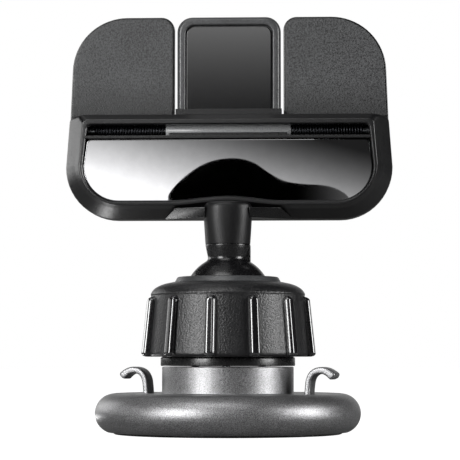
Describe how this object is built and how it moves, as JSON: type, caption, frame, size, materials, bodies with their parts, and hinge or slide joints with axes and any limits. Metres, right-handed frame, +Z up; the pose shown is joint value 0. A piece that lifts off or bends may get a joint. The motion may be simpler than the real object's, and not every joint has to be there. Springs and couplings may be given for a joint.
{
  "type": "car phone mount",
  "caption": "Dashboard phone mount: twist-lock suction base with cable hooks, ball joint in a ribbed collar nut, and a wide head with a sprung tongue between two padded wings.",
  "frame": {"origin": "centre of the suction pad's flat underside", "axes": "+Z up; -Y is the front, the side that the phone faces; +X is to the right seen from the front"},
  "size_m": [0.094, 0.075, 0.1198],
  "materials": {
    "rubber_pad": "moulded PVC suction disc, satin black",
    "textured_rubber": "moulded elastomer with a fine pebble grain, charcoal",
    "silver_lacquer": "moulded ABS under a silver metallic lacquer, satin",
    "black_abs": "moulded black ABS, fine spark texture, satin",
    "black_nylon": "moulded black glass-filled nylon, semi gloss",
    "gloss_black": "high-gloss black acrylic facing, mirror smooth",
    "satin_black": "smooth satin black facing",
    "acetal": "natural acetal bearing parts",
    "zinc_steel": "zinc-plated steel",
    "spring_steel": "blackened spring steel wire"
  },
  "bodies": {
    "base": {"suction_pad": "rubber_pad", "base_hub": "silver_lacquer", "retainer_plate": "zinc_steel", "retainer_screw_1": "zinc_steel", "retainer_screw_2": "zinc_steel", "retainer_screw_3": "zinc_steel", "cable_hook_left": "silver_lacquer", "cable_hook_right": "silver_lacquer", "socket_post": "black_nylon", "hub_screw_1": "zinc_steel", "hub_screw_2": "zinc_steel", "hub_screw_3": "zinc_steel", "return_spring": "spring_steel"},
    "ring": {"twist_ring": "silver_lacquer"},
    "cup_lift": {"cup_stud": "zinc_steel", "lift_pin": "zinc_steel"},
    "clamp_ring": {"pressure_ring": "black_nylon"},
    "nut": {"collar_nut": "black_nylon"},
    "swivel": {"friction_ring": "acetal"},
    "tilt": {"friction_cup": "acetal"},
    "head": {"ball_stud": "black_nylon", "neck_stud": "zinc_steel", "neck_bracket": "black_abs", "bracket_screw_1": "zinc_steel", "bracket_screw_2": "zinc_steel", "cradle_frame": "black_abs", "back_shell": "black_abs", "wing_pad_left": "textured_rubber", "wing_pad_right": "textured_rubber", "hinge_pin": "zinc_steel", "torsion_spring_left": "spring_steel", "torsion_spring_right": "spring_steel", "shell_screw_1": "zinc_steel", "shell_screw_2": "zinc_steel", "shell_screw_3": "zinc_steel", "shell_screw_4": "zinc_steel"},
    "jaw": {"jaw_arm": "black_abs", "jaw_inset": "satin_black", "lever_cover": "gloss_black", "jaw_pad": "textured_rubber"}
  },
  "joints": [
    {"name": "ring_twist", "type": "hinge", "parent": "base", "child": "ring", "pos_m": [0, 0, 0.0058], "axis": [0, 0, 1], "range_deg": [0, 60]},
    {"name": "cup_pull", "type": "slide", "parent": "base", "child": "cup_lift", "axis": [0, 0, 1], "range_m": [0, 0.00198], "deforming": ["return_spring"]},
    {"name": "nut_travel", "type": "slide", "parent": "base", "child": "clamp_ring", "axis": [0, 0, 1], "range_m": [0, 0.001]},
    {"name": "nut_turn", "type": "hinge", "parent": "clamp_ring", "child": "nut", "pos_m": [0, 0, 0.0315], "axis": [0, 0, 1], "range_deg": [0, 120]},
    {"name": "head_swivel", "type": "hinge", "parent": "base", "child": "swivel", "pos_m": [0, 0, 0.0378], "axis": [0, 0, 1], "continuous": true},
    {"name": "head_tilt", "type": "hinge", "parent": "swivel", "child": "tilt", "pos_m": [0, 0, 0.0378], "axis": [1, 0, 0], "range_deg": [-20, 20]},
    {"name": "head_lean", "type": "hinge", "parent": "tilt", "child": "head", "pos_m": [0, 0, 0.0378], "axis": [0, 1, 0], "range_deg": [-20, 20]},
    {"name": "jaw_open", "type": "hinge", "parent": "head", "child": "jaw", "pos_m": [0, 0.0045, 0.0864], "axis": [1, 0, 0], "range_deg": [0, 28], "stiffness_Nm_per_rad": 0.35, "springref_deg": -22.92}
  ],
  "couplings": [
    {"joint": "ring_twist", "follows": "cup_pull", "rad_per_m": 528},
    {"joint": "nut_turn", "follows": "nut_travel", "rad_per_m": 2094}
  ]
}
